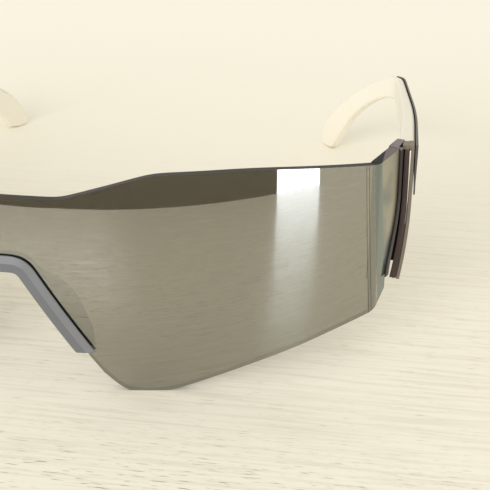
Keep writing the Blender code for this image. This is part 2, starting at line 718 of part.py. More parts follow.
def build_endpiece(workshop, front, hand, side):
    """The endpiece with its screw holes, the fixed hinge leaf and its two screws."""
    name = f"endpiece_{hand}"
    endpiece = workshop.add(name, loft_mesh(name, endpiece_rings(), side), "endpiece", front)
    plate_inner = ENDPIECE_INSIDE + LEAF_GAP
    plate_end = ENDPIECE_BACK + JOINT_GAP / 2 - KNUCKLE_RADIUS - HINGE_CLEARANCE
    plate_start = plate_end - LEAF_LENGTH
    mid_depth = plate_inner + LEAF_THICKNESS / 2
    centre = wing_point((plate_start + plate_end) / 2, HINGE_MIDDLE, mid_depth)
    size = (LEAF_LENGTH, LEAF_THICKNESS, HINGE_HEIGHT)
    leaf_name = f"front_leaf_{hand}"
    leaf = workshop.add(leaf_name, box_mesh(leaf_name, centre, size, WING_ANGLE, side), "steel", front)
    root = wing_point(plate_end - LEAF_THICKNESS, 0, mid_depth)
    add_knuckles(workshop, leaf, leaf_name, front, None, side, 0, root, -wing_outward())
    screw_run = ENDPIECE_BACK - BLOCK_LENGTH / 2 - KNUCKLE_RADIUS / 2
    for index, height in enumerate(screw_heights()):
        outer = wing_point(screw_run, height, ENDPIECE_INSIDE - LEAF_SCREW_DEPTH - LEAF_GAP)
        inner = wing_point(screw_run, height, plate_inner + LEAF_THICKNESS + CUT_OVERRUN)
        hole = workshop.cutter(
            f"{name}_hole_{index}", rod_mesh(name + "_hole", outer, inner, LEAF_SCREW_HOLE, side), front)
        boolean(endpiece, hole, "DIFFERENCE")
        boolean(leaf, hole, "DIFFERENCE")
        axis = (outer - inner).normalized()
        face = wing_point(screw_run, height, plate_inner + LEAF_THICKNESS)
        top = face - axis * (LEAF_GAP / 2 + LEAF_SCREW_HEAD_HEIGHT)
        length = LEAF_SCREW_HEAD_HEIGHT + LEAF_GAP / 2 + LEAF_THICKNESS + LEAF_GAP + LEAF_SCREW_DEPTH
        profile = screw_profile(LEAF_SCREW_HEAD, LEAF_SCREW_HEAD_HEIGHT, LEAF_SCREW_RADIUS, length)
        screw_name = f"front_screw_{hand}_{index + 1}"
        add_screw(workshop, screw_name, front, None, side, top, axis, profile, WING_ANGLE)
    pivot_top = HINGE_FOOT + HINGE_HEIGHT + PIVOT_HEAD_HEIGHT
    profile = screw_profile(
        PIVOT_HEAD_RADIUS, PIVOT_HEAD_HEIGHT, PIVOT_SCREW_RADIUS, PIVOT_HEAD_HEIGHT + HINGE_HEIGHT)
    add_screw(
        workshop, f"pivot_screw_{hand}", front, None, side,
        (PIVOT.x, PIVOT.y, pivot_top), (0, 0, -1), profile, WING_ANGLE)


# The temple's plan: its outer face runs back from the blade's front and turns in behind the ear
def blade_inner():
    """The blade's inner face, just outside the endpiece's outer rear corner."""
    return wing_point(ENDPIECE_BACK, 0, TOP_FLANGE_INSET).x + HINGE_CLEARANCE


BLADE_INNER = blade_inner()
CAP_INNER = BLADE_INNER + INSERT_WIDTH + LAYER_GAP
CAP_OUTER = CAP_INNER + CAP_WALL
SKIN_INNER = CAP_OUTER + LAYER_GAP
TEMPLE_OUTER = SKIN_INNER + SKIN_THICKNESS


def joint_face_y(x):
    """Where the endpiece's rear face lies in plan at this x."""
    outward = wing_outward()
    rear = wing_point(ENDPIECE_BACK, 0, ENDPIECE_INSIDE)
    return rear.y + (x - rear.x) * outward.y / outward.x


BLADE_REAR = joint_face_y(BLADE_INNER)
BLADE_FRONT = BLADE_REAR - BLADE_DEPTH


def temple_plan():
    """The outer face's line in plan, as (y, x) pairs along the temple's reach."""
    corners = [
        (BLADE_FRONT, TEMPLE_OUTER),
        (BLADE_FRONT + TEMPLE_REACH * FOLD_CORNER_SHARE, TEMPLE_OUTER - FOLD_CORNER_INSET),
        (BLADE_FRONT + TEMPLE_REACH * EAR_SHARE, TEMPLE_OUTER - EAR_INSET),
        (BLADE_FRONT + TEMPLE_REACH, TEMPLE_OUTER - TIP_INSET),
    ]
    return rounded(corners, [ARM_FILLET, EAR_FILLET])


def side_line(shares, radii):
    """An edge of the temple seen from the side, as (y, z) pairs."""
    corners = [(BLADE_FRONT + TEMPLE_REACH * along, BLADE_TOP * up) for along, up in shares]
    return rounded(corners, radii)


PLAN_LINE = temple_plan()
TOP_LINE = side_line(TOP_LINE_SHARES, TOP_LINE_FILLETS)
LOWER_LINE = side_line(LOWER_LINE_SHARES, LOWER_LINE_FILLETS)


def lean(y, height):
    """How far the temple's faces curve inwards low down near its front."""
    drop = max(LEAN_HEIGHT - height, 0.0)
    fade = 1 - smooth((y - BLADE_REAR) / (BLADE_TOP - BLADE_FOOT))
    return bow(LEAN_RADIUS, drop) * fade


def outer_point(y, height, inset):
    """A point at this depth below the temple's outer face."""
    x = height_along(PLAN_LINE, y)
    step = TEMPLE_REACH / OUTLINE_SAMPLES
    slope = (height_along(PLAN_LINE, y + step) - height_along(PLAN_LINE, y - step)) / (2 * step)
    along = Vector((slope, 1)).normalized()
    inward = Vector((-along.y, along.x))
    return Vector((x - lean(y, height) + inward.x * inset, y + inward.y * inset, height))


def blade_front_y(height):
    return BLADE_FRONT - (BLADE_TOP - height) * math.tan(BLADE_SLANT)


def strip_section(height, inner, outer, recess):
    """A blade strip's section in plan, between two insets below the temple's outer face."""
    front = blade_front_y(height) + recess
    rear = BLADE_REAR
    return [
        outer_point(front, height, inner), outer_point(front, height, outer),
        outer_point(rear, height, outer), outer_point(rear, height, inner)]


def build_blade(workshop, pivot_frame, origin, hand, side):
    """The blade's dark insert and the cap that wraps over it."""
    cap_step = BLADE_TOP - CAP_TOP_THICKNESS
    insert_top = cap_step - HINGE_CLEARANCE
    cap_outer = SKIN_THICKNESS + LAYER_GAP
    cap_inner = cap_outer + CAP_WALL
    insert_outer = cap_inner + LAYER_GAP
    shares = [step / BLADE_STATIONS for step in range(BLADE_STATIONS + 1)]
    insert_rings = []
    for share in shares:
        insert_inner = insert_outer + mix(INSERT_FOOT_WIDTH, INSERT_WIDTH, share)
        height = mix(BLADE_FOOT, insert_top, share)
        insert_rings.append(strip_section(height, insert_inner, insert_outer, INSERT_RECESS))
    name = f"temple_insert_{hand}"
    workshop.add(name, loft_mesh(name, insert_rings, side), "insert", pivot_frame, origin)
    cap_heights = [mix(BLADE_FOOT, cap_step, share) for share in shares]
    cap_rings = [strip_section(height, cap_inner, cap_outer, 0) for height in cap_heights]
    reach = cap_inner + CAP_TOP_REACH
    cap_rings.append(strip_section(cap_step + ENDPIECE_TOP_STEP, reach, cap_outer, 0))
    cap_rings.append(strip_section(BLADE_TOP, reach, cap_outer, 0))
    name = f"temple_cap_{hand}"
    workshop.add(name, loft_mesh(name, cap_rings, side), "cap", pivot_frame, origin)


def arm_rings():
    """Sections of the pale arm: set in by the skin up to the ear, full thickness behind it."""
    end = BLADE_FRONT + TEMPLE_REACH
    skin_stop = BLADE_FRONT + TEMPLE_REACH * SKIN_END_SHARE + LAYER_GAP
    runout = TEMPLE_REACH * SKIN_RUNOUT_SHARE
    covered = round(ARM_STATIONS * SKIN_END_SHARE)
    places = [mix(BLADE_REAR, skin_stop, step / covered) for step in range(covered + 1)]
    bare = ARM_STATIONS - covered
    places += [mix(end, skin_stop + runout, (1 - step / bare) ** TIP_CROWDING) for step in range(bare + 1)]
    rings = []
    for y in places:
        along = (y - BLADE_FRONT) / TEMPLE_REACH
        top = height_along(TOP_LINE, y)
        low = height_along(LOWER_LINE, y)
        past_skin = smooth((y - skin_stop) / runout)
        outer = (SKIN_THICKNESS + LAYER_GAP) * (1 - past_skin)
        waist = mix(ARM_THICKNESS, ARM_WAIST_THICKNESS, smooth(along / SKIN_END_SHARE))
        inner = outer + mix(waist, TIP_THICKNESS, past_skin)
        chamfer = min(ARM_CHAMFER, (top - low) * ARM_CHAMFER_LIMIT_SHARE)
        squared = 1 - smooth((y - BLADE_REAR) / ARM_THICKNESS)
        heights = [mix(low + chamfer, top - chamfer, row / ARM_ROWS) for row in range(ARM_ROWS + 1)]
        section = [(inner - chamfer, low)]
        section += [(inner, height) for height in heights]
        section += [(inner - chamfer, top), (outer + chamfer, top)]
        section += [(outer, height) for height in reversed(heights)]
        section.append((outer + chamfer, low))
        ring = []
        for inset, height in section:
            point = outer_point(y, height, inset)
            face = max(joint_face_y(point.x), BLADE_REAR)
            point.y = mix(point.y, y + JOINT_GAP + face - BLADE_REAR, squared)
            ring.append(point)
        rings.append(ring)
    return rings


def skin_rings():
    """Sections of the slate skin on the arm's outer face: thin at its foot and towards the ear."""
    end = BLADE_FRONT + TEMPLE_REACH * SKIN_END_SHARE
    rings = []
    for station in range(ARM_STATIONS + 1):
        share = station / ARM_STATIONS
        top = height_along(TOP_LINE, mix(BLADE_FRONT, end, share))
        low = height_along(LOWER_LINE, mix(BLADE_FRONT, end, share)) + ARM_CHAMFER
        low = max(low, mix(SKIN_FOOT, BLADE_TOP * LOWER_LINE_SHARES[3][1], share))
        outer_side = []
        inner_side = []
        for row in range(ARM_ROWS + 1):
            height = mix(low, top, row / ARM_ROWS)
            y = mix(blade_front_y(height), end, share)
            slope_share = smooth((height - SKIN_THIN_HEIGHT) / (BLADE_TOP - SKIN_THIN_HEIGHT))
            thick = mix(SKIN_THIN, SKIN_THICKNESS, slope_share)
            thick = mix(thick, SKIN_THIN, share)
            inner_side.append(outer_point(y, height, SKIN_THICKNESS))
            outer_side.append(outer_point(y, height, SKIN_THICKNESS - thick))
        rings.append(inner_side + outer_side[::-1])
    return rings


def build_temple(workshop, front, hand, side):
    """One temple on its pivot: arm, skin, blade pieces and its hinge leaf with two screws."""
    origin = Vector((side * PIVOT.x, PIVOT.y, 0))
    frame = workshop.empty(f"temple_{hand}_pivot", front, origin)
    name = f"temple_arm_{hand}"
    arm = workshop.add(name, loft_mesh(name, arm_rings(), side), "arm", frame, origin)
    name = f"temple_skin_{hand}"
    workshop.add(name, loft_mesh(name, skin_rings(), side), "skin", frame, origin)
    build_blade(workshop, frame, origin, hand, side)
    plate_y = PIVOT.y + KNUCKLE_RADIUS + HINGE_CLEARANCE
    inset = SKIN_THICKNESS + LAYER_GAP + ARM_THICKNESS + LEAF_GAP
    near = outer_point(plate_y, HINGE_FOOT, inset)
    far = outer_point(plate_y + LEAF_LENGTH, HINGE_FOOT, inset)
    near.z = HINGE_MIDDLE
    far.z = HINGE_MIDDLE
    heading = (far - near).normalized()
    inward = Vector((-heading.y, heading.x, 0))
    turn = math.atan2(heading.y, heading.x)
    centre = near + heading * (LEAF_LENGTH / 2) + inward * (LEAF_THICKNESS / 2)
    leaf_name = f"temple_leaf_{hand}"
    size = (LEAF_LENGTH, LEAF_THICKNESS, HINGE_HEIGHT)
    leaf = workshop.add(leaf_name, box_mesh(leaf_name, centre, size, turn, side), "steel", frame, origin)
    root = near + heading * LEAF_THICKNESS + inward * (LEAF_THICKNESS / 2)
    add_knuckles(workshop, leaf, leaf_name, frame, origin, side, 1, root, inward)
    for index, height in enumerate(screw_heights()):
        foot = near + heading * (LEAF_LENGTH * LEAF_SCREW_PLACE_SHARE)
        axis = -inward
        inner = Vector((foot.x, foot.y, height)) + inward * (LEAF_THICKNESS + CUT_OVERRUN)
        outer = Vector((foot.x, foot.y, height)) - inward * (2 * LEAF_GAP + LEAF_SCREW_DEPTH)
        bore = rod_mesh(f"temple_hole_{hand}", outer, inner, LEAF_SCREW_HOLE, side)
        hole = workshop.cutter(f"temple_hole_{hand}_{index}", bore, frame, origin)
        boolean(arm, hole, "DIFFERENCE")
        boolean(leaf, hole, "DIFFERENCE")
        head_top = LEAF_THICKNESS + LEAF_GAP / 2 + LEAF_SCREW_HEAD_HEIGHT
        top = Vector((foot.x, foot.y, height)) + inward * head_top
        length = LEAF_SCREW_HEAD_HEIGHT + LEAF_GAP / 2 + LEAF_THICKNESS + LEAF_GAP + LEAF_SCREW_DEPTH
        profile = screw_profile(LEAF_SCREW_HEAD, LEAF_SCREW_HEAD_HEIGHT, LEAF_SCREW_RADIUS, length)
        screw_name = f"temple_screw_{hand}_{index + 1}"
        add_screw(workshop, screw_name, frame, origin, side, top, axis, profile, WING_ANGLE)


def centre_on_origin(workshop, front):
    """Moves the whole assembly so that the origin is below the middle of its box."""
    bpy.context.view_layer.update()
    graph = bpy.context.evaluated_depsgraph_get()
    depths = []
    for piece in workshop.parts.objects:
        if piece.type == "MESH":
            evaluated = piece.evaluated_get(graph)
            depths += [(evaluated.matrix_world @ Vector(corner)).y for corner in evaluated.bound_box]
    front.location.y = -(min(depths) + max(depths)) / 2


def main():
    clear_scene()
    workshop = Workshop()
    front = workshop.empty("front_frame", None, (0, 0, 0))
    build_lens(workshop, front)
    build_nose_piece(workshop, front)
    for hand, side in (("left", 1), ("right", -1)):
        build_endpiece(workshop, front, hand, side)
        build_temple(workshop, front, hand, side)
    centre_on_origin(workshop, front)


main()
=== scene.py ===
"""Rimless wrap sunglasses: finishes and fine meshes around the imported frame.

Every place and size comes from the frame's own nodes, in metres. The front stands on
the floor on the lens's two lobes and the temples stand on their tips.
"""

import json
import logging
import math
from dataclasses import dataclass, field
from enum import Enum, IntEnum

import bmesh
import bpy
from bmesh.types import BMEdge, BMesh, BMFace, BMVert
from bpy.types import Material, Node, NodeSocket, NodeTree, Object
from mathutils import Matrix, Vector

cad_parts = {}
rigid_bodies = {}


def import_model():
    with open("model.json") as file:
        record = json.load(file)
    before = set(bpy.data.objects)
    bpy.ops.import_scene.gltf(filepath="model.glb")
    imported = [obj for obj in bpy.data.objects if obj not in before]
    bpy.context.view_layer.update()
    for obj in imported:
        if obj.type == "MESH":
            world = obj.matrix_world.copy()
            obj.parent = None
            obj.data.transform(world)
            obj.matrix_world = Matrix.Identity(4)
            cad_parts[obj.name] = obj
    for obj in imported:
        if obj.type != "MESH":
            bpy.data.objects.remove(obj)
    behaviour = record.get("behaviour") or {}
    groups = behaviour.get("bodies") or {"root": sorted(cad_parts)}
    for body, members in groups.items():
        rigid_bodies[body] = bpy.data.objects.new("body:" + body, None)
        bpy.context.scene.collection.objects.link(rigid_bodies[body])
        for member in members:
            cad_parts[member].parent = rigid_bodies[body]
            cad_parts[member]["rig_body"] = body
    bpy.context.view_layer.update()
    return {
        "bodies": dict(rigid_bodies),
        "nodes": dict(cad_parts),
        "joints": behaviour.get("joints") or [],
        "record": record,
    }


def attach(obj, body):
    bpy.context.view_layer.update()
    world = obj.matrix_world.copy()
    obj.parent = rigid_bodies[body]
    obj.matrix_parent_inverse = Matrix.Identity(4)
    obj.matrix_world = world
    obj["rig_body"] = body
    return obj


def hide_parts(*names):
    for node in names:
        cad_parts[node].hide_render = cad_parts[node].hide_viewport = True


LOG = logging.getLogger("sunglasses")
MM = 0.001
# Decimals of a metre that tell microns apart
MICRON_DECIMALS = 6
# The Mix node's sockets by number, because several of them share a name
MIX_SHARE = 0
NUMBER_A, NUMBER_B, COLOUR_A, COLOUR_B = 2, 3, 6, 7
NUMBER_OUT, COLOUR_OUT = 0, 2


class Hand(Enum):
    """The wearer's two sides."""

    LEFT = "left"
    RIGHT = "right"

    @property
    def side(self) -> int:
        """The sign of X on this side."""
        return 1 if self is Hand.LEFT else -1


# Shared helpers


def linear(code: str) -> tuple[float, float, float, float]:
    """Turns an sRGB hex colour into the linear values that a shader takes.

    Args:
        code: Six hex digits, such as "A5A08C".

    Returns:
        Red, green, blue and an opaque alpha, all from 0 to 1.
    """
    shares = [int(code[start : start + 2], 16) / 255 for start in (0, 2, 4)]
    # The sRGB standard's curve: straight near black, a power above it
    return (*[c / 12.92 if c <= 0.04045 else ((c + 0.055) / 1.055) ** 2.4 for c in shares], 1.0)


def feed(tree: NodeTree, node: Node, inputs: dict[str | int, object]) -> None:
    """Fills a node's inputs.

    Args:
        tree: The node tree that it is in.
        node: The node.
        inputs: What they get, by socket name or number: a socket to read, or a value.
    """
    for name, source in inputs.items():
        if isinstance(source, NodeSocket):
            tree.links.new(source, node.inputs[name])
        else:
            node.inputs[name].default_value = source


def add_node(
    tree: NodeTree, kind: str, inputs: dict[str | int, object] | None = None, **settings: object
) -> Node:
    """Adds one shader node.

    Args:
        tree: The node tree that it joins.
        kind: The node's type without its prefix, such as "Bump".
        inputs: What its inputs get, by socket name or number: a socket to read, or a value.
        settings: Its own properties by name.

    Returns:
        The new node.
    """
    node = tree.nodes.new("ShaderNode" + kind)
    for name, setting in settings.items():
        setattr(node, name, setting)
    feed(tree, node, inputs or {})
    return node


def add_math(tree: NodeTree, operation: str, *terms: NodeSocket | float) -> NodeSocket:
    """Adds one step of arithmetic.

    Args:
        tree: The node tree that it joins.
        operation: What it does, such as "MULTIPLY".
        terms: Its terms in order, each a socket or a number.

    Returns:
        The socket of the result.
    """
    return add_node(tree, "Math", dict(enumerate(terms)), operation=operation).outputs["Value"]


def add_range(
    tree: NodeTree,
    value: NodeSocket,
    read: tuple[float, float] = (0.0, 1.0),
    give: tuple[float, float] = (0.0, 1.0),
) -> NodeSocket:
    """Maps one range of a value to another, and holds it at the ends.

    Args:
        tree: The node tree that it joins.
        value: The socket of the value.
        read: The value at each end.
        give: What each end turns to.

    Returns:
        The socket of the result.
    """
    limits = dict(zip(("From Min", "From Max", "To Min", "To Max"), read + give))
    return add_node(tree, "MapRange", {"Value": value, **limits}).outputs["Result"]


def add_noise(tree: NodeTree, place: NodeSocket, size: float, detail: float) -> NodeSocket:
    """Adds noise.

    Args:
        tree: The node tree that it joins.
        place: The socket that gives the place.
        size: Size of its patches, in the units of the place.
        detail: How many finer layers it has.

    Returns:
        The socket of the noise, from 0 to 1.
    """
    return add_node(tree, "TexNoise", {"Vector": place, "Scale": 1 / size, "Detail": detail}).outputs["Fac"]


def add_mix(
    tree: NodeTree, share: NodeSocket, first: NodeSocket | str, second: NodeSocket | str
) -> NodeSocket:
    """Mixes two colours.

    Args:
        tree: The node tree that it joins.
        share: The socket that gives the second one's share.
        first: The first one, a socket or sRGB hex.
        second: The second one, likewise.

    Returns:
        The socket of the mixed colour.
    """
    inputs = {MIX_SHARE: share}
    for number, colour in ((COLOUR_A, first), (COLOUR_B, second)):
        inputs[number] = linear(colour) if isinstance(colour, str) else colour
    return add_node(tree, "Mix", inputs, data_type="RGBA").outputs[COLOUR_OUT]


def blank_material(name: str) -> tuple[Material, NodeTree, Node]:
    """Starts a node material.

    Args:
        name: The material's name.

    Returns:
        The material, its node tree and its Principled shader.
    """
    material = bpy.data.materials.new(name)
    material.use_nodes = True
    tree = material.node_tree
    return material, tree, tree.nodes["Principled BSDF"]


# Finishes


@dataclass(frozen=True)
class Finish:
    """A moulded or machined surface with its own colour drift, gloss and fine relief.

    Attributes:
        name: What the material is and how its surface was made.
        pale: The lighter of its two colours, sRGB hex.
        deep: The darker of its two colours, sRGB hex.
        gloss: Least roughness.
        dull: Most roughness.
        drift: Size of the colour patches, in metres.
        grain: Size of the fine relief, in metres.
        relief: Height of the fine relief, in metres.
        metallic: Share of the surface that reflects as metal.
        ior: Index of refraction.
        drift_detail: How many finer layers the colour patches have.
        grain_detail: How many finer layers the fine relief has.
        top_sheen: The colour of its top faces, sRGB hex, where they differ: a painted sheen where the top
            faces catch the light.
        top_sheen_foot: The height where the top faces' colour starts, in metres.
        top_sheen_rise: The height over which it takes over, in metres.
    """

    name: str
    pale: str
    deep: str
    gloss: float
    dull: float
    drift: float = 5 * MM
    grain: float = 0.12 * MM
    relief: float = 0.01 * MM
    metallic: float = 0.0
    ior: float = 1.5
    drift_detail: float = 3.0
    grain_detail: float = 2.0
    top_sheen: str = ""
    top_sheen_foot: float = 41.4 * MM
    top_sheen_rise: float = 0.15 * MM

    def make(self) -> Material:
        """Builds the material.

        Returns:
            The material.
        """
        material, tree, shader = blank_material(self.name)
        place = add_node(tree, "TexCoord").outputs["Object"]
        patches = add_noise(tree, place, self.drift, self.drift_detail)
        grain = add_noise(tree, place, self.grain, self.grain_detail)
        colour = add_mix(tree, patches, self.deep, self.pale)
        # Where set, the top faces turn to a paler colour: a painted sheen
        if self.top_sheen:
            height = add_node(tree, "SeparateXYZ", {"Vector": place}).outputs["Z"]
            is_sheen_top = add_range(tree, height, read=(self.top_sheen_foot, self.top_sheen_foot + self.top_sheen_rise))
            colour = add_mix(tree, is_sheen_top, colour, self.top_sheen)
        bump = add_node(tree, "Bump", {"Distance": self.relief, "Height": grain})
        inputs = {
            "Base Color": colour,
            "Roughness": add_range(tree, grain, give=(self.gloss, self.dull)),
            "Normal": bump.outputs["Normal"],
            "Metallic": self.metallic,
            "IOR": self.ior,
        }
        feed(tree, shader, inputs)
        return material


@dataclass(frozen=True)
class LensSkin:
    """One of the shield's surfaces, whose colour changes from the face over the bend to the wing.

    Attributes:
        name: What the surface is and how it was made.
        face: Its colour across the face, sRGB hex.
        bend: Its colour on the moulded bend, sRGB hex: painted reflection on the mirror, painted shade on
            the rim.
        wing: Its colour on the wing, sRGB hex: a pale painted reflection on the mirror, a painted sheen on
            the rim.
        patch: The colour of the soft patches on the wing, sRGB hex: painted reflections.
        gloss: Least roughness.
        dull: Most roughness, where it has been wiped.
        metallic: Share of the face that reflects as metal.
        wing_metallic: Share of the wing that reflects as metal.
        wing_blur: How much rougher the wing is.
        clear: Share of the rest of the face that lets light through.
        wing_clear: Share of the rest of the wing that lets light through.
        lines: Distances from the centre plane of the fine dark lines, in metres.
        line_tone: The colour of these lines, sRGB hex.
        line_width: Half their width, in metres.
        wipe: Size of the wiped patches, in metres.
        wipe_detail: How many finer layers these have.
        patch_size: Size of the wing's soft patches, in metres.
        patch_detail: How many finer layers these have.
        patch_range: The noise where a patch starts and where it is at its full strength.
        bend_start: Distance from the centre plane where the bend starts, in metres.
        bend_end: Distance from the centre plane where the wing starts, in metres.
        level: The height at which these distances hold, in metres.
        lean: How far the bend moves outwards for each metre below that.
        ramp: Width over which one colour turns to the next, in metres.
        ior: Index of refraction, polycarbonate's.
    """

    name: str
    face: str
    bend: str
    wing: str
    patch: str
    gloss: float
    dull: float
    metallic: float = 0.0
    wing_metallic: float = 0.0
    wing_blur: float = 0.0
    clear: float = 1.0
    wing_clear: float = 1.0
    lines: tuple[float, ...] = ()
    line_tone: str = "6A695C"
    line_width: float = 0.05 * MM
    wipe: float = 18 * MM
    wipe_detail: float = 4.0
    patch_size: float = 7 * MM
    patch_detail: float = 1.0
    patch_range: tuple[float, float] = (0.45, 0.6)
    bend_start: float = 62.85 * MM
    bend_end: float = 63.95 * MM
    level: float = 38 * MM
    lean: float = 0.048
    ramp: float = 0.12 * MM
    ior: float = 1.585

    def make(self) -> Material:
        """Builds the material.

        Returns:
            The material.
        """
        material, tree, shader = blank_material(self.name)
        place = add_node(tree, "TexCoord").outputs["Object"]
        across = self.add_across(tree, place)
        is_bent, is_wing = (
            add_range(tree, across, read=(start, start + self.ramp))
            for start in (self.bend_start, self.bend_end)
        )
        # The bend's colour, the wing's colour and its soft patches are painted reflection and painted sheen
        patches = add_noise(tree, place, self.patch_size, self.patch_detail)
        face = add_mix(tree, is_bent, self.face, self.bend)
        wing = add_mix(tree, add_range(tree, patches, read=self.patch_range), self.wing, self.patch)
        colour = add_mix(tree, is_wing, face, wing)
        for line in self.lines:
            is_line = add_math(tree, "COMPARE", across, line, self.line_width)
            colour = add_mix(tree, is_line, colour, self.line_tone)
        wiped = add_noise(tree, place, self.wipe, self.wipe_detail)
        rough = add_range(tree, wiped, give=(self.gloss, self.dull))
        inputs = {
            "Base Color": colour,
            "Roughness": add_math(tree, "MULTIPLY_ADD", is_wing, self.wing_blur, rough),
            "IOR": self.ior,
        }
        for socket, on_face, on_wing in (
            ("Metallic", self.metallic, self.wing_metallic),
            ("Transmission Weight", self.clear, self.wing_clear),
        ):
            is_even = on_face == on_wing
            inputs[socket] = on_face if is_even else add_range(tree, is_bent, give=(on_face, on_wing))
        feed(tree, shader, inputs)
        return material

    def add_across(self, tree: NodeTree, place: NodeSocket) -> NodeSocket:
        """Measures how far out a point is, along a bend that leans outwards towards its foot.

        Args:
            tree: The material's node tree.
            place: The socket that gives the place on the piece.

        Returns:
            The socket that gives the distance.
        """
        split = add_node(tree, "SeparateXYZ", {"Vector": place}).outputs
        out = add_math(tree, "ABSOLUTE", split["X"])
        above = add_math(tree, "SUBTRACT", split["Z"], self.level)
        return add_math(tree, "MULTIPLY_ADD", above, self.lean, out)


class Slot(Enum):
    """The record's material slots with the finish that each one gets."""

    # A sputtered mirror over smoke polycarbonate: reflects like dull silver, and lets a little through
    # The darker bend, the paler opaque wing and the wing's soft patches are painted reflections of the room
    LENS = LensSkin(
        "polycarbonate_mirror_sputtered",
        face="AFAEA4",
        bend="757D76",
        wing="A9A491",
        patch="7F857E",
        gloss=0.01,
        dull=0.03,
        metallic=0.62,
        wing_metallic=0.45,
        wing_blur=0.33,
        wing_clear=0.0,
        lines=(61.5 * MM, 61.95 * MM),
    )
    # Soft silicone rubber from a fine-blasted mould: no shine, a bluish grey
    NOSE = Finish(
        "rubber_satin_moulded",
        pale="6E7076",
        deep="66686E",
        drift=6 * MM,
        grain=0.15 * MM,
        gloss=0.42,
        dull=0.55,
    )
    # Dark nylon from a satin mould; its top faces are painted a paler taupe, a painted sheen where the top
    # catches the light
    ENDPIECE = Finish(
        "nylon_dark_moulded",
        pale="352B28",
        deep="281F1E",
        gloss=0.36,
        dull=0.5,
        # The top faces' paler taupe: a painted sheen
        top_sheen="7B7074",
    )
    # Turned stainless steel: fine tool marks that blur its reflections
    STEEL = Finish(
        "stainless_steel_turned",
        pale="C8C4BC",
        deep="ABA79F",
        drift=2 * MM,
        grain=0.1 * MM,
        relief=0.005 * MM,
        gloss=0.25,
        dull=0.4,
        metallic=1.0,
    )
    # Cream nylon from a satin mould: even, with a soft sheen
    ARM = Finish(
        "nylon_cream_moulded",
        pale="F9F5EA",
        deep="F4EFE1",
        drift=12 * MM,
        grain=0.15 * MM,
        gloss=0.35,
        dull=0.48,
    )
    # Slate nylon film moulded over the arm: darker, with much the same sheen
    SKIN = Finish(
        "nylon_slate_moulded",
        pale="575354",
        deep="464344",
        drift=6 * MM,
        gloss=0.35,
        dull=0.5,
    )
    # Taupe pearl lacquer: its flakes catch the light a little
    CAP = Finish(
        "lacquer_taupe_pearl",
        pale="8C8375",
        deep="7C7366",
        drift=3 * MM,
        grain=0.1 * MM,
        relief=0.005 * MM,
        gloss=0.28,
        dull=0.4,
        metallic=0.4,
    )
    # Reddish brown nylon from a satin mould
    INSERT = Finish(
        "nylon_brown_moulded",
        pale="54423E",
        deep="43322E",
        drift=4 * MM,
        grain=0.1 * MM,
        gloss=0.32,
        dull=0.45,
    )


# Dark nylon for the lip deep in the joint between the blade and the bar, near-black as painted shade for
# the shadowed gap
GAP_SHADE = Finish(
    "nylon_black_painted_shade",
    pale="171312",
    deep="100D0C",
    gloss=0.6,
    dull=0.7,
    ior=1.3,
)
# The nose piece's outer band, which leans up into the light: a paler colour as painted highlight, and a
# little more sheen
NOSE_BAND_HIGHLIGHT = Finish(
    "rubber_satin_highlit",
    pale="7E8086",
    deep="76787D",
    drift=6 * MM,
    grain=0.15 * MM,
    gloss=0.3,
    dull=0.42,
)
# The shield's inner face is bare smoke polycarbonate, which darkens what lies behind it
SMOKE = LensSkin(
    "polycarbonate_smoke_polished",
    face="6C675C",
    bend="5E625C",
    wing="6C675C",
    patch="6C675C",
    gloss=0.03,
    dull=0.06,
)
# Its sawn and polished rim shows the smoke through its full depth, so it looks nearly black
# Its paler taupe on the wing, with soft patches, is a painted sheen where the top faces catch the light,
# and its darker bend is painted shade
RIM = LensSkin(
    "polycarbonate_rim_polished",
    face="241C1E",
    bend="171617",
    wing="70666A",
    patch="675D61",
    gloss=0.32,
    dull=0.45,
    clear=0.0,
    wing_clear=0.0,
    ior=1.2,
)


# Studio


@dataclass(frozen=True)
class Lamp:
    """A rectangular soft lamp that looks at the middle of the table.

    Attributes:
        name: The lamp's name.
        place: Where it hangs.
        width: Its width, in metres.
        height: Its height, in metres.
        power: Its power, in watts.
    """

    name: str
    place: tuple[float, float, float]
    width: float
    height: float
    power: float

    def hang(self) -> None:
        """Puts the lamp into the scene."""
        data = bpy.data.lights.new(self.name, "AREA")
        data.shape = "RECTANGLE"
        data.size = self.width
        data.size_y = self.height
        data.energy = self.power
        lamp = bpy.data.objects.new(self.name, data)
        place = Vector(self.place)
        lamp.matrix_world = Matrix.Translation(place) @ place.to_track_quat("Z", "Y").to_matrix().to_4x4()
        lamp.visible_camera = False
        bpy.context.scene.collection.objects.link(lamp)


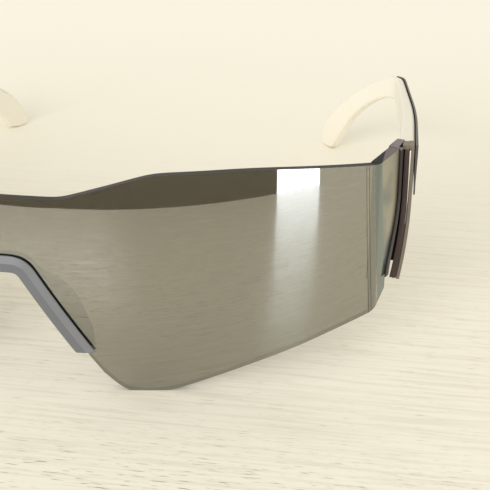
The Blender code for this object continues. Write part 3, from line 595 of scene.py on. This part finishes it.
@dataclass(frozen=True)
class Panel:
    """An upright sheet in front of the table that only mirrors on the object's side see.

    Attributes:
        name: The sheet's name.
        foot: The points, in plan, that its foot runs through.
        height: Its height, in metres.
        tone: Its colour, sRGB hex.
        strength: How brightly it shines.
    """

    name: str
    foot: tuple[tuple[float, float], ...]
    height: float
    tone: str
    strength: float

    def stand(self) -> None:
        """Puts the sheet into the scene."""
        bm = bmesh.new()
        low = [bm.verts.new((x, y, 0)) for x, y in self.foot]
        run = [bm.edges.new(pair) for pair in zip(low, low[1:])]
        raised = bmesh.ops.extrude_edge_only(bm, edges=run)["geom"]
        tops = [item for item in raised if isinstance(item, BMVert)]
        bmesh.ops.translate(bm, verts=tops, vec=(0, 0, self.height))
        bm.normal_update()
        bmesh.ops.reverse_faces(bm, faces=[face for face in bm.faces if face.normal.y < 0])
        mesh = bpy.data.meshes.new(self.name)
        bm.to_mesh(mesh)
        bm.free()
        mesh.materials.append(self.make())
        sheet = bpy.data.objects.new(self.name, mesh)
        sheet.visible_camera = False
        sheet.visible_diffuse = False
        sheet.visible_shadow = False
        sheet.visible_transmission = False
        bpy.context.scene.collection.objects.link(sheet)

    def make(self) -> Material:
        """Builds its material: it shines towards the object and is clear from behind.

        Returns:
            The material.
        """
        material, tree, shader = blank_material(self.name)
        tree.nodes.remove(shader)
        glow = add_node(tree, "Emission", {"Color": linear(self.tone), "Strength": self.strength})
        clear = add_node(tree, "BsdfTransparent")
        facing = add_node(tree, "NewGeometry")
        sheet = add_node(
            tree,
            "MixShader",
            {0: facing.outputs["Backfacing"], 1: glow.outputs["Emission"], 2: clear.outputs["BSDF"]},
        )
        tree.links.new(sheet.outputs["Shader"], tree.nodes["Material Output"].inputs["Surface"])
        return material


@dataclass(frozen=True)
class Laminate:
    """The pale table top: faint long grain with fine dark ticks, which fade out towards the back.

    Attributes:
        pale: Its colour, sRGB hex.
        streak: The colour of its long grain, sRGB hex.
        tick: The colour of its ticks, sRGB hex.
        vein: The colour of the veins in front, sRGB hex.
        far: Its paler colour far behind, sRGB hex: a painted sheen of the floor seen at a grazing angle.
        streak_size: Length and width of the long grain, in metres.
        tick_size: Length and width of the ticks, in metres.
        vein_size: Length and width of the veins, in metres.
        streak_range: The noise that gives no long grain, and the noise that gives it in full.
        tick_range: The same for the ticks.
        vein_range: The same for the veins.
        grain_detail: How many finer layers each of the three has.
        fade_start: Distance behind the middle where the grain starts to fade, in metres.
        fade_end: Distance behind the middle where it is gone, in metres.
        vein_start: Distance behind the middle where the veins start, in metres.
        vein_full: Distance behind the middle where they are at their full strength, in metres.
        relief: Height of the ticks, in metres.
        vein_relief: Height of the veins, in metres.
        far_start: Distance behind the middle where the far colour starts, in metres.
        far_full: Distance behind the middle where it has taken over, in metres.
        gloss: Least roughness that a mirror sees.
        dull: Most roughness that a mirror sees.
        matt: Roughness seen directly.
        shine: Specular level that a mirror sees; seen directly it has none, so that it mirrors no panel.
    """

    pale: str = "FAF6E9"
    streak: str = "F0EBDD"
    tick: str = "D8D0BD"
    vein: str = "C0B8A2"
    far: str = "FFFDF4"
    streak_size: tuple[float, float] = (22 * MM, 1.1 * MM)
    tick_size: tuple[float, float] = (4.2 * MM, 0.36 * MM)
    vein_size: tuple[float, float] = (4.5 * MM, 0.42 * MM)
    streak_range: tuple[float, float] = (0.45, 0.65)
    tick_range: tuple[float, float] = (0.63, 0.72)
    vein_range: tuple[float, float] = (0.62, 0.7)
    grain_detail: float = 3.0
    fade_start: float = -30 * MM
    fade_end: float = 60 * MM
    vein_start: float = -68 * MM
    vein_full: float = -90 * MM
    relief: float = 0.03 * MM
    vein_relief: float = 0.1 * MM
    far_start: float = 60 * MM
    far_full: float = 260 * MM
    gloss: float = 0.14
    dull: float = 0.3
    matt: float = 0.8
    shine: float = 0.5

    def add_grain(
        self, tree: NodeTree, place: NodeSocket, size: tuple[float, float], limits: tuple[float, float]
    ) -> NodeSocket:
        """Adds noise drawn out along X.

        Args:
            tree: The material's node tree.
            place: The socket that gives the place on the floor.
            size: Its length and width, in metres.
            limits: The noise that gives 0 and the noise that gives 1.

        Returns:
            The socket of the result.
        """
        length, width = size
        drawn = add_node(tree, "Mapping", {"Vector": place, "Scale": (1 / length, 1 / width, 1)})
        noise = add_noise(tree, drawn.outputs["Vector"], size=1.0, detail=self.grain_detail)
        return add_range(tree, noise, read=limits)

    def make(self) -> Material:
        """Builds the material.

        Returns:
            The material.
        """
        material, tree, shader = blank_material("laminate_pale")
        place = add_node(tree, "TexCoord").outputs["Object"]
        back = add_node(tree, "SeparateXYZ", {"Vector": place}).outputs["Y"]
        near = add_range(tree, back, read=(self.fade_end, self.fade_start))
        front = add_range(tree, back, read=(self.vein_start, self.vein_full))
        behind = add_range(tree, back, read=(self.far_start, self.far_full))
        streaks = self.add_grain(tree, place, self.streak_size, self.streak_range)
        ticks = self.add_grain(tree, place, self.tick_size, self.tick_range)
        veins = self.add_grain(tree, place, self.vein_size, self.vein_range)
        # Paler far behind: painted sheen of the floor at a grazing view
        colour = add_mix(tree, behind, self.pale, self.far)
        for pattern, mask, tone in (
            (streaks, near, self.streak),
            (ticks, near, self.tick),
            (veins, front, self.vein),
        ):
            colour = add_mix(tree, add_math(tree, "MULTIPLY", pattern, mask), colour, tone)
        is_mirrored = add_node(tree, "LightPath").outputs["Is Glossy Ray"]
        sheen = add_range(tree, streaks, give=(self.gloss, self.dull))
        rough = add_node(tree, "Mix", {MIX_SHARE: is_mirrored, NUMBER_A: self.matt, NUMBER_B: sheen})
        ticked = add_node(tree, "Bump", {"Distance": self.relief, "Height": ticks}, invert=True)
        vein_inputs = {
            "Strength": front,
            "Distance": self.vein_relief,
            "Height": veins,
            "Normal": ticked.outputs["Normal"],
        }
        inputs = {
            "Base Color": colour,
            "Roughness": rough.outputs[NUMBER_OUT],
            "Specular IOR Level": add_math(tree, "MULTIPLY", is_mirrored, self.shine),
            "Normal": add_node(tree, "Bump", vein_inputs, invert=True).outputs["Normal"],
        }
        feed(tree, shader, inputs)
        return material


@dataclass(frozen=True)
class Studio:
    """The photograph's camera over a pale floor, with a pale world and soft lamps.

    Attributes:
        eye: The camera's place.
        turn: How far it is turned to the left, in radians.
        dip: How far it looks down, in radians.
        roll: How far it is rolled, in radians.
        lens: Focal length, in the camera's own millimetres.
        sensor: Sensor width, in the camera's own millimetres.
        floor_reach: Half the floor's width, in metres.
        sky: The pale room's colour, sRGB hex.
        sky_strength: How brightly it lights the object.
        lamps: The soft lamps.
        panels: The sheets that only mirrors see: a dark room, and a window in it.
    """

    eye: tuple[float, float, float] = (0.08354, -0.297726, 0.13908)
    turn: float = 0.1746
    dip: float = 0.4281
    roll: float = 0.0014
    lens: float = 113.2
    sensor: float = 36.0
    floor_reach: float = 3.0
    sky: str = "EDE9DE"
    sky_strength: float = 0.97
    lamps: tuple[Lamp, ...] = (
        Lamp("soft_key", place=(-0.6, -2.4, 1.0), width=1.5, height=1.0, power=37.0),
    )
    panels: tuple[Panel, ...] = (
        Panel(
            "dark_room",
            foot=((-0.9, -0.182), (0.226, -0.2777)),
            height=0.22,
            tone="443C30",
            strength=1.0,
        ),
        Panel(
            "window",
            foot=((0.172, -0.2711), (0.226, -0.2757)),
            height=0.22,
            tone="EAF2FF",
            strength=8.0,
        ),
    )

    def place_camera(self) -> None:
        """Sets the camera at the photograph's viewing angle."""
        data = bpy.data.cameras.new("camera")
        data.lens = self.lens
        data.sensor_width = self.sensor
        data.clip_start = MM
        level = Vector((-math.sin(self.turn), math.cos(self.turn), 0))
        side = Vector((math.cos(self.turn), math.sin(self.turn), 0))
        upright = Vector((0, 0, 1))
        ahead = math.cos(self.dip) * level - math.sin(self.dip) * upright
        above = math.cos(self.dip) * upright + math.sin(self.dip) * level
        right = math.cos(self.roll) * side + math.sin(self.roll) * above
        up = math.cos(self.roll) * above - math.sin(self.roll) * side
        axes = Matrix((right, up, -ahead)).transposed().to_4x4()
        camera = bpy.data.objects.new("camera", data)
        camera.matrix_world = Matrix.Translation(self.eye) @ axes
        bpy.context.scene.collection.objects.link(camera)
        bpy.context.scene.camera = camera

    def lay_floor(self) -> None:
        """Lays the pale floor."""
        bm = bmesh.new()
        bmesh.ops.create_grid(bm, x_segments=1, y_segments=1, size=self.floor_reach)
        mesh = bpy.data.meshes.new("floor")
        bm.to_mesh(mesh)
        bm.free()
        floor = bpy.data.objects.new("floor", mesh)
        bpy.context.scene.collection.objects.link(floor)
        mesh.materials.append(Laminate().make())

    def light(self) -> None:
        """Hangs the lamps and lights the rest from a pale world."""
        scene = bpy.context.scene
        scene.view_settings.view_transform = "Standard"
        world = bpy.data.worlds.new("pale_room")
        world.use_nodes = True
        backdrop = world.node_tree.nodes["Background"]
        backdrop.inputs["Color"].default_value = linear(self.sky)
        backdrop.inputs["Strength"].default_value = self.sky_strength
        scene.world = world
        for lamp in self.lamps:
            lamp.hang()
        for panel in self.panels:
            panel.stand()


# Fine meshes of the frame's nodes


@dataclass(frozen=True)
class Edges:
    """How a fine mesh is smoothed and its edges softened.

    Attributes:
        sharp: Least angle between two faces that counts as an edge, in radians.
        radius: Width of the softened edges in metres, or 0 for crisp ones.
        rounds: Segments over a softened edge.
        levels: Subdivision levels of the finished surface.
    """

    sharp: float = math.radians(28)
    radius: float = 0.1 * MM
    rounds: int = 2
    levels: int = 1


@dataclass
class SubAssembly:
    """What every sub-assembly does: copies frame nodes and dresses the copies.

    Attributes:
        frame: The loaded frame.
        materials: The finished materials by slot.
        merge: Distance within which a node's loose corners are joined, in metres.
        flat: Most angle between two triangles that still make one flat face, in radians.
        square: How far such a face may be from a rectangle, in radians.
    """

    frame: dict
    materials: dict
    merge: float = 0.001 * MM
    flat: float = math.radians(4)
    square: float = math.radians(50)

    def merged(self, name: str) -> BMesh:
        """Copies a frame node with its corners joined and its triangles paired.

        Args:
            name: The node's name.

        Returns:
            The copy, for the caller to free.
        """
        bm = bmesh.new()
        bm.from_mesh(self.frame["nodes"][name].data)
        bmesh.ops.remove_doubles(bm, verts=bm.verts, dist=self.merge)
        bmesh.ops.join_triangles(
            bm, faces=bm.faces, angle_face_threshold=self.flat, angle_shape_threshold=self.square
        )
        bm.faces.ensure_lookup_table()
        return bm

    def is_edge(self, edge: BMEdge, edges: Edges) -> bool:
        """Says whether an edge of the frame's mesh stays one.

        Args:
            edge: The edge.
            edges: How the piece is smoothed.

        Returns:
            Whether it stays an edge.
        """
        return edge.is_manifold and edge.calc_face_angle() > edges.sharp

    def dress(
        self, bm: BMesh, name: str, slot: Slot, edges: Edges, extra: tuple[Material, ...] = ()
    ) -> Object:
        """Turns a bmesh into a finished piece, and frees it.

        Args:
            bm: The piece's shape.
            name: The piece's name.
            slot: The material slot that it takes its finish from.
            edges: How it is smoothed.
            extra: Materials after the slot's own, for faces with a higher index.

        Returns:
            The piece, which rides on nothing yet.
        """
        crease = bm.edges.layers.float.new("crease_edge")
        for edge in bm.edges:
            is_edge = self.is_edge(edge, edges)
            edge[crease] = float(is_edge)
            edge.smooth = not is_edge
        for face in bm.faces:
            face.smooth = True
        mesh = bpy.data.meshes.new(name)
        bm.to_mesh(mesh)
        bm.free()
        piece = bpy.data.objects.new(name, mesh)
        bpy.context.scene.collection.objects.link(piece)
        for material in (self.materials[slot], *extra):
            mesh.materials.append(material)
        finer = piece.modifiers.new("finer", "SUBSURF")
        finer.levels = finer.render_levels = edges.levels
        if edges.radius:
            soften = piece.modifiers.new("softened_edges", "BEVEL")
            soften.width = edges.radius
            soften.segments = edges.rounds
            soften.limit_method = "ANGLE"
            soften.angle_limit = edges.sharp
            soften.harden_normals = True
            soften.use_clamp_overlap = False
        LOG.info("dressed %s", name)
        return piece

    def refine(self, name: str, slot: Slot, edges: Edges) -> Object:
        """Replaces a frame node with its fine copy.

        Args:
            name: The node's name.
            slot: Its material slot.
            edges: How it is smoothed.

        Returns:
            The piece, riding on the node's body.
        """
        piece = self.dress(self.merged(name), name + "_fine", slot, edges)
        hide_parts(name)
        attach(piece, self.frame["nodes"][name]["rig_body"])
        return piece


class Surface(IntEnum):
    """The lens's surfaces by the index of their materials."""

    OUTER = 0
    INNER = 1
    RIM = 2


@dataclass
class Shield(SubAssembly):
    """The one-piece lens: mirror outside, bare smoke inside, a polished rim round both.

    Attributes:
        edges: How it is smoothed. Its sawn edges stay crisp.
        chamfer: Width of the polished chamfer round its outer face, in metres.
        arch_chamfer: Its width over the nose piece, in metres.
        arch: Half the width and the height of the arch that the nose piece covers, in metres.
    """

    edges: Edges = field(default_factory=lambda: Edges(radius=0.0, levels=2))
    chamfer: float = 0.28 * MM
    arch_chamfer: float = 0.1 * MM
    arch: tuple[float, float] = (18 * MM, 28 * MM)

    def spread(self, seed: BMFace) -> set[BMFace]:
        """Finds the smooth surface that a face belongs to.

        Args:
            seed: A face of it.

        Returns:
            All its faces.
        """
        found = {seed}
        waiting = [seed]
        while waiting:
            face = waiting.pop()
            for edge in face.edges:
                if not edge.is_manifold or edge.calc_face_angle() > self.edges.sharp:
                    continue
                for other in edge.link_faces:
                    if other not in found:
                        found.add(other)
                        waiting.append(other)
        return found

    def is_outline(self, edge: BMEdge) -> bool:
        """Says whether an edge lies between the outer face and the rim.

        Args:
            edge: The edge.

        Returns:
            Whether it lies there.
        """
        return sorted(face.material_index for face in edge.link_faces) == [Surface.OUTER, Surface.RIM]

    def is_over_nose(self, edge: BMEdge) -> bool:
        """Says whether an edge lies on the arch that the nose piece covers.

        Args:
            edge: The edge.

        Returns:
            Whether it lies there.
        """
        width, height = self.arch
        return all(abs(vertex.co.x) < width and vertex.co.z < height for vertex in edge.verts)

    def build(self) -> None:
        """Makes the lens."""
        bm = self.merged("shield_lens")
        facing = [face for face in bm.faces if abs(face.normal.y) > math.cos(self.edges.sharp)]
        outside = self.spread(min(facing, key=lambda face: face.calc_center_median().y))
        inner_faces = [face for face in facing if face.normal.y > 0 and face not in outside]
        inside = self.spread(max(inner_faces, key=lambda face: face.calc_area()))
        for face in bm.faces:
            if face in outside:
                face.material_index = Surface.OUTER
            elif face in inside:
                face.material_index = Surface.INNER
            else:
                face.material_index = Surface.RIM
        for width, over_nose in ((self.arch_chamfer, True), (self.chamfer, False)):
            outline = [
                edge for edge in bm.edges if self.is_outline(edge) and self.is_over_nose(edge) == over_nose
            ]
            chamfered = bmesh.ops.bevel(
                bm,
                geom=outline,
                offset=width,
                segments=1,
                profile=0.5,
                affect="EDGES",
                material=-1,
                clamp_overlap=True,
            )
            for face in chamfered["faces"]:
                face.material_index = Surface.RIM
            LOG.info("lens: %d edges chamfered by %.2f mm", len(outline), width / MM)
        piece = self.dress(bm, "shield_lens_fine", Slot.LENS, self.edges, (SMOKE.make(), RIM.make()))
        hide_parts("shield_lens")
        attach(piece, "front")


@dataclass
class NosePiece(SubAssembly):
    """The rubber moulding that grips the arch and carries the two pads.

    Attributes:
        edges: How it is smoothed.
        ridge: Least angle that counts as an edge where the two faces lean differently, in radians.
        tilt: Least difference of such faces' lean, as a share of their normals.
        middle: The point that the arch goes round.
        facing: How far a front face looks forwards, at least, as a share of its normal.
        lean: How far a face of the outer band leans away from the middle, at least, likewise.
        band_index: Index of the outer band's material, a painted highlight.
    """

    edges: Edges = field(default_factory=lambda: Edges(radius=0.0, levels=2))
    ridge: float = math.radians(10)
    tilt: float = 0.02
    middle: tuple[float, float, float] = (0.0, 0.0, 4 * MM)
    facing: float = 0.8
    lean: float = 0.08
    band_index: int = 1

    def is_edge(self, edge: BMEdge, edges: Edges) -> bool:
        """Says whether an edge stays one: the shallow ridge between the band and its bevel does.

        Args:
            edge: The edge.
            edges: How the piece is smoothed.

        Returns:
            Whether it stays an edge.
        """
        if super().is_edge(edge, edges):
            return True
        if not edge.is_manifold or edge.calc_face_angle() < self.ridge:
            return False
        first, second = edge.link_faces
        return abs(first.normal.y - second.normal.y) > self.tilt

    def build(self) -> None:
        """Makes the nose piece, with its outer band painted paler as a highlight."""
        bm = self.merged("nose_piece")
        for face in bm.faces:
            away = face.calc_center_median() - Vector(self.middle)
            away.y = 0
            leans = face.normal.dot(away.normalized())
            if face.normal.y < -self.facing and leans > self.lean:
                face.material_index = self.band_index
        piece = self.dress(bm, "nose_piece_fine", Slot.NOSE, self.edges, (NOSE_BAND_HIGHLIGHT.make(),))
        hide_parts("nose_piece")
        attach(piece, "front")


@dataclass
class Endpiece(SubAssembly):
    """The bar that grips a wing's rear edge, with the fixed half of the hinge.

    Attributes:
        hand: The side that it is on.
        edges: How the bar is smoothed.
        metal_edges: How the hinge is smoothed.
    """

    hand: Hand = Hand.LEFT
    edges: Edges = field(default_factory=lambda: Edges(radius=0.04 * MM))
    metal_edges: Edges = field(default_factory=lambda: Edges(radius=0.03 * MM, levels=0))

    def build(self) -> None:
        """Makes the bar, the leaf, its screws and the pivot screw."""
        hand = self.hand.value
        self.refine(f"endpiece_{hand}", Slot.ENDPIECE, self.edges)
        for name in (
            f"front_leaf_{hand}",
            f"pivot_screw_{hand}",
            f"front_screw_{hand}_1",
            f"front_screw_{hand}_2",
        ):
            self.refine(name, Slot.STEEL, self.metal_edges)


@dataclass(frozen=True)
class Strip:
    """A thin strip that runs up the blade, measured from the insert's outer front corner.

    Attributes:
        name: The strip's name.
        foot: The height where it starts, in metres.
        top: The height where it ends, in metres.
        inner: How far out its inner side is at its foot and at its top, in metres.
        outer: How far out its outer side is at its foot and at its top, in metres.
        front: How far back its front is, in metres.
        depth: Its depth from front to back, in metres.
        softened: Width of its softened edges, in metres.
        cuts: How many times it is divided over its height.
    """

    name: str
    foot: float
    top: float
    inner: tuple[float, float]
    outer: tuple[float, float]
    front: float
    depth: float
    softened: float = 0.03 * MM
    cuts: int = 12


@dataclass
class Temple(SubAssembly):
    """A temple: the arm, its skin, the blade's cap and insert, its strips and the moving hinge half.

    Attributes:
        hand: The side that it is on.
        edges: How the arm is smoothed.
        strip_edges: How the blade's strips are smoothed.
        metal_edges: How the hinge is smoothed.
        trim: The cream line that shows in the gap between the insert and the cap.
        lip: The dark lip behind the insert's inner side, which closes the gap to the bar; its near-black
            finish is painted shade for the gap.
        face: The insert's front edge, which widens towards its foot.
        flank: The cap's flank, which closes the gap to the skin.
        cover: The cover over the insert's top, flush with the cap's.
    """

    hand: Hand = Hand.LEFT
    edges: Edges = field(default_factory=lambda: Edges(radius=0.12 * MM))
    strip_edges: Edges = field(default_factory=lambda: Edges(radius=0.06 * MM))
    metal_edges: Edges = field(default_factory=lambda: Edges(radius=0.03 * MM, levels=0))
    trim: Strip = Strip(
        "trim_line",
        foot=27 * MM,
        top=40.6 * MM,
        inner=(0.0 * MM, 0.02 * MM),
        outer=(0.02 * MM, 0.24 * MM),
        front=-0.35 * MM,
        depth=0.9 * MM,
    )
    lip: Strip = Strip(
        "blade_lip",
        foot=19.4 * MM,
        top=40.4 * MM,
        inner=(-1.86 * MM, -1.45 * MM),
        outer=(-0.9 * MM, -0.86 * MM),
        front=0.7 * MM,
        depth=2.1 * MM,
    )
    face: Strip = Strip(
        "insert_face",
        foot=16.4 * MM,
        top=40.4 * MM,
        inner=(-1.05 * MM, -0.9 * MM),
        outer=(0.3 * MM, -0.02 * MM),
        front=0.02 * MM,
        depth=1.2 * MM,
    )
    flank: Strip = Strip(
        "cap_flank",
        foot=24 * MM,
        top=40.6 * MM,
        inner=(0.25 * MM, 0.3 * MM),
        outer=(0.6 * MM, 0.84 * MM),
        front=-0.15 * MM,
        depth=1.6 * MM,
    )
    cover: Strip = Strip(
        "top_cover",
        foot=40.65 * MM,
        top=41.5 * MM,
        inner=(-1.3 * MM, -1.3 * MM),
        outer=(-0.1 * MM, -0.1 * MM),
        front=0.05 * MM,
        depth=2.2 * MM,
    )

    def build(self) -> None:
        """Makes the temple's pieces."""
        hand = self.hand.value
        for name, slot, edges in (
            (f"temple_arm_{hand}", Slot.ARM, self.edges),
            (f"temple_skin_{hand}", Slot.SKIN, self.strip_edges),
            (f"temple_cap_{hand}", Slot.CAP, self.strip_edges),
            (f"temple_insert_{hand}", Slot.INSERT, self.strip_edges),
            (f"temple_leaf_{hand}", Slot.STEEL, self.metal_edges),
            (f"temple_screw_{hand}_1", Slot.STEEL, self.metal_edges),
            (f"temple_screw_{hand}_2", Slot.STEEL, self.metal_edges),
        ):
            self.refine(name, slot, edges)
        self.build_strip(self.trim, Slot.ARM)
        # The lip's near-black finish is painted shade in the gap to the bar
        self.build_strip(self.lip, Slot.ENDPIECE, GAP_SHADE.make())
        self.build_strip(self.face, Slot.INSERT)
        self.build_strip(self.flank, Slot.CAP)
        self.build_strip(self.cover, Slot.CAP)

    def read_corner(self) -> tuple[list[float], list[float], list[float]]:
        """Reads the insert's outer front corner, row by row.

        Returns:
            The rows' heights, how far out the corner is in each, and how far back, in metres.
        """
        insert = self.frame["nodes"][f"temple_insert_{self.hand.value}"]
        corners = [vertex.co for vertex in insert.data.vertices]
        levels = sorted({round(corner.z, MICRON_DECIMALS) for corner in corners})
        rows = [[corner for corner in corners if abs(corner.z - level) < self.merge] for level in levels]
        outer = [max(self.hand.side * corner.x for corner in row) for row in rows]
        front = [min(corner.y for corner in row) for row in rows]
        return levels, outer, front

    @staticmethod
    def along(levels: list[float], values: list[float], height: float) -> float:
        """Finds a value between the insert's rows.

        Args:
            levels: The rows' heights, in metres.
            values: The value at each row.
            height: The height to find it at, in metres.

        Returns:
            The value there, or past the rows that of the nearest one.
        """
        for below, above, first, last in zip(levels, levels[1:], values, values[1:]):
            if below <= height <= above:
                return first + (last - first) * (height - below) / (above - below)
        return values[-1] if height > levels[-1] else values[0]

    def build_strip(self, strip: Strip, slot: Slot, finish: Material | None = None) -> None:
        """Makes a strip that follows the insert's outer front corner.

        Args:
            strip: Its sizes.
            slot: The material slot that it belongs to.
            finish: Its own material, where it isn't the slot's.
        """
        levels, outer, front = self.read_corner()
        bm = bmesh.new()
        bmesh.ops.create_cube(bm, size=1.0)
        upright = [edge for edge in bm.edges if edge.verts[0].co.z * edge.verts[1].co.z < 0]
        bmesh.ops.subdivide_edges(bm, edges=upright, cuts=strip.cuts, use_grid_fill=True)
        for vertex in bm.verts:
            # The cube reaches from -0.5 to 0.5, and these shares from 0 to 1
            outwards, back, up = (value + 0.5 for value in vertex.co)
            height = strip.foot + (strip.top - strip.foot) * up
            near, far = (ends[0] + (ends[1] - ends[0]) * up for ends in (strip.inner, strip.outer))
            reach = near + (far - near) * outwards
            behind = strip.front + back * strip.depth
            vertex.co = (
                self.hand.side * (self.along(levels, outer, height) + reach),
                self.along(levels, front, height) + behind,
                height,
            )
        bmesh.ops.recalc_face_normals(bm, faces=bm.faces)
        edges = Edges(radius=strip.softened, levels=0)
        piece = self.dress(bm, f"{strip.name}_{self.hand.value}", slot, edges)
        if finish:
            piece.data.materials[0] = finish
        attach(piece, f"temple_{self.hand.value}")


def main() -> None:
    """Builds the scene."""
    logging.basicConfig(level=logging.INFO, format="%(name)s: %(message)s")
    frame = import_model()
    studio = Studio()
    studio.place_camera()
    studio.lay_floor()
    studio.light()
    materials = {slot: slot.value.make() for slot in Slot}
    Shield(frame, materials).build()
    NosePiece(frame, materials).build()
    for hand in Hand:
        Endpiece(frame, materials, hand=hand).build()
        Temple(frame, materials, hand=hand).build()


if __name__ == "__main__":
    main()
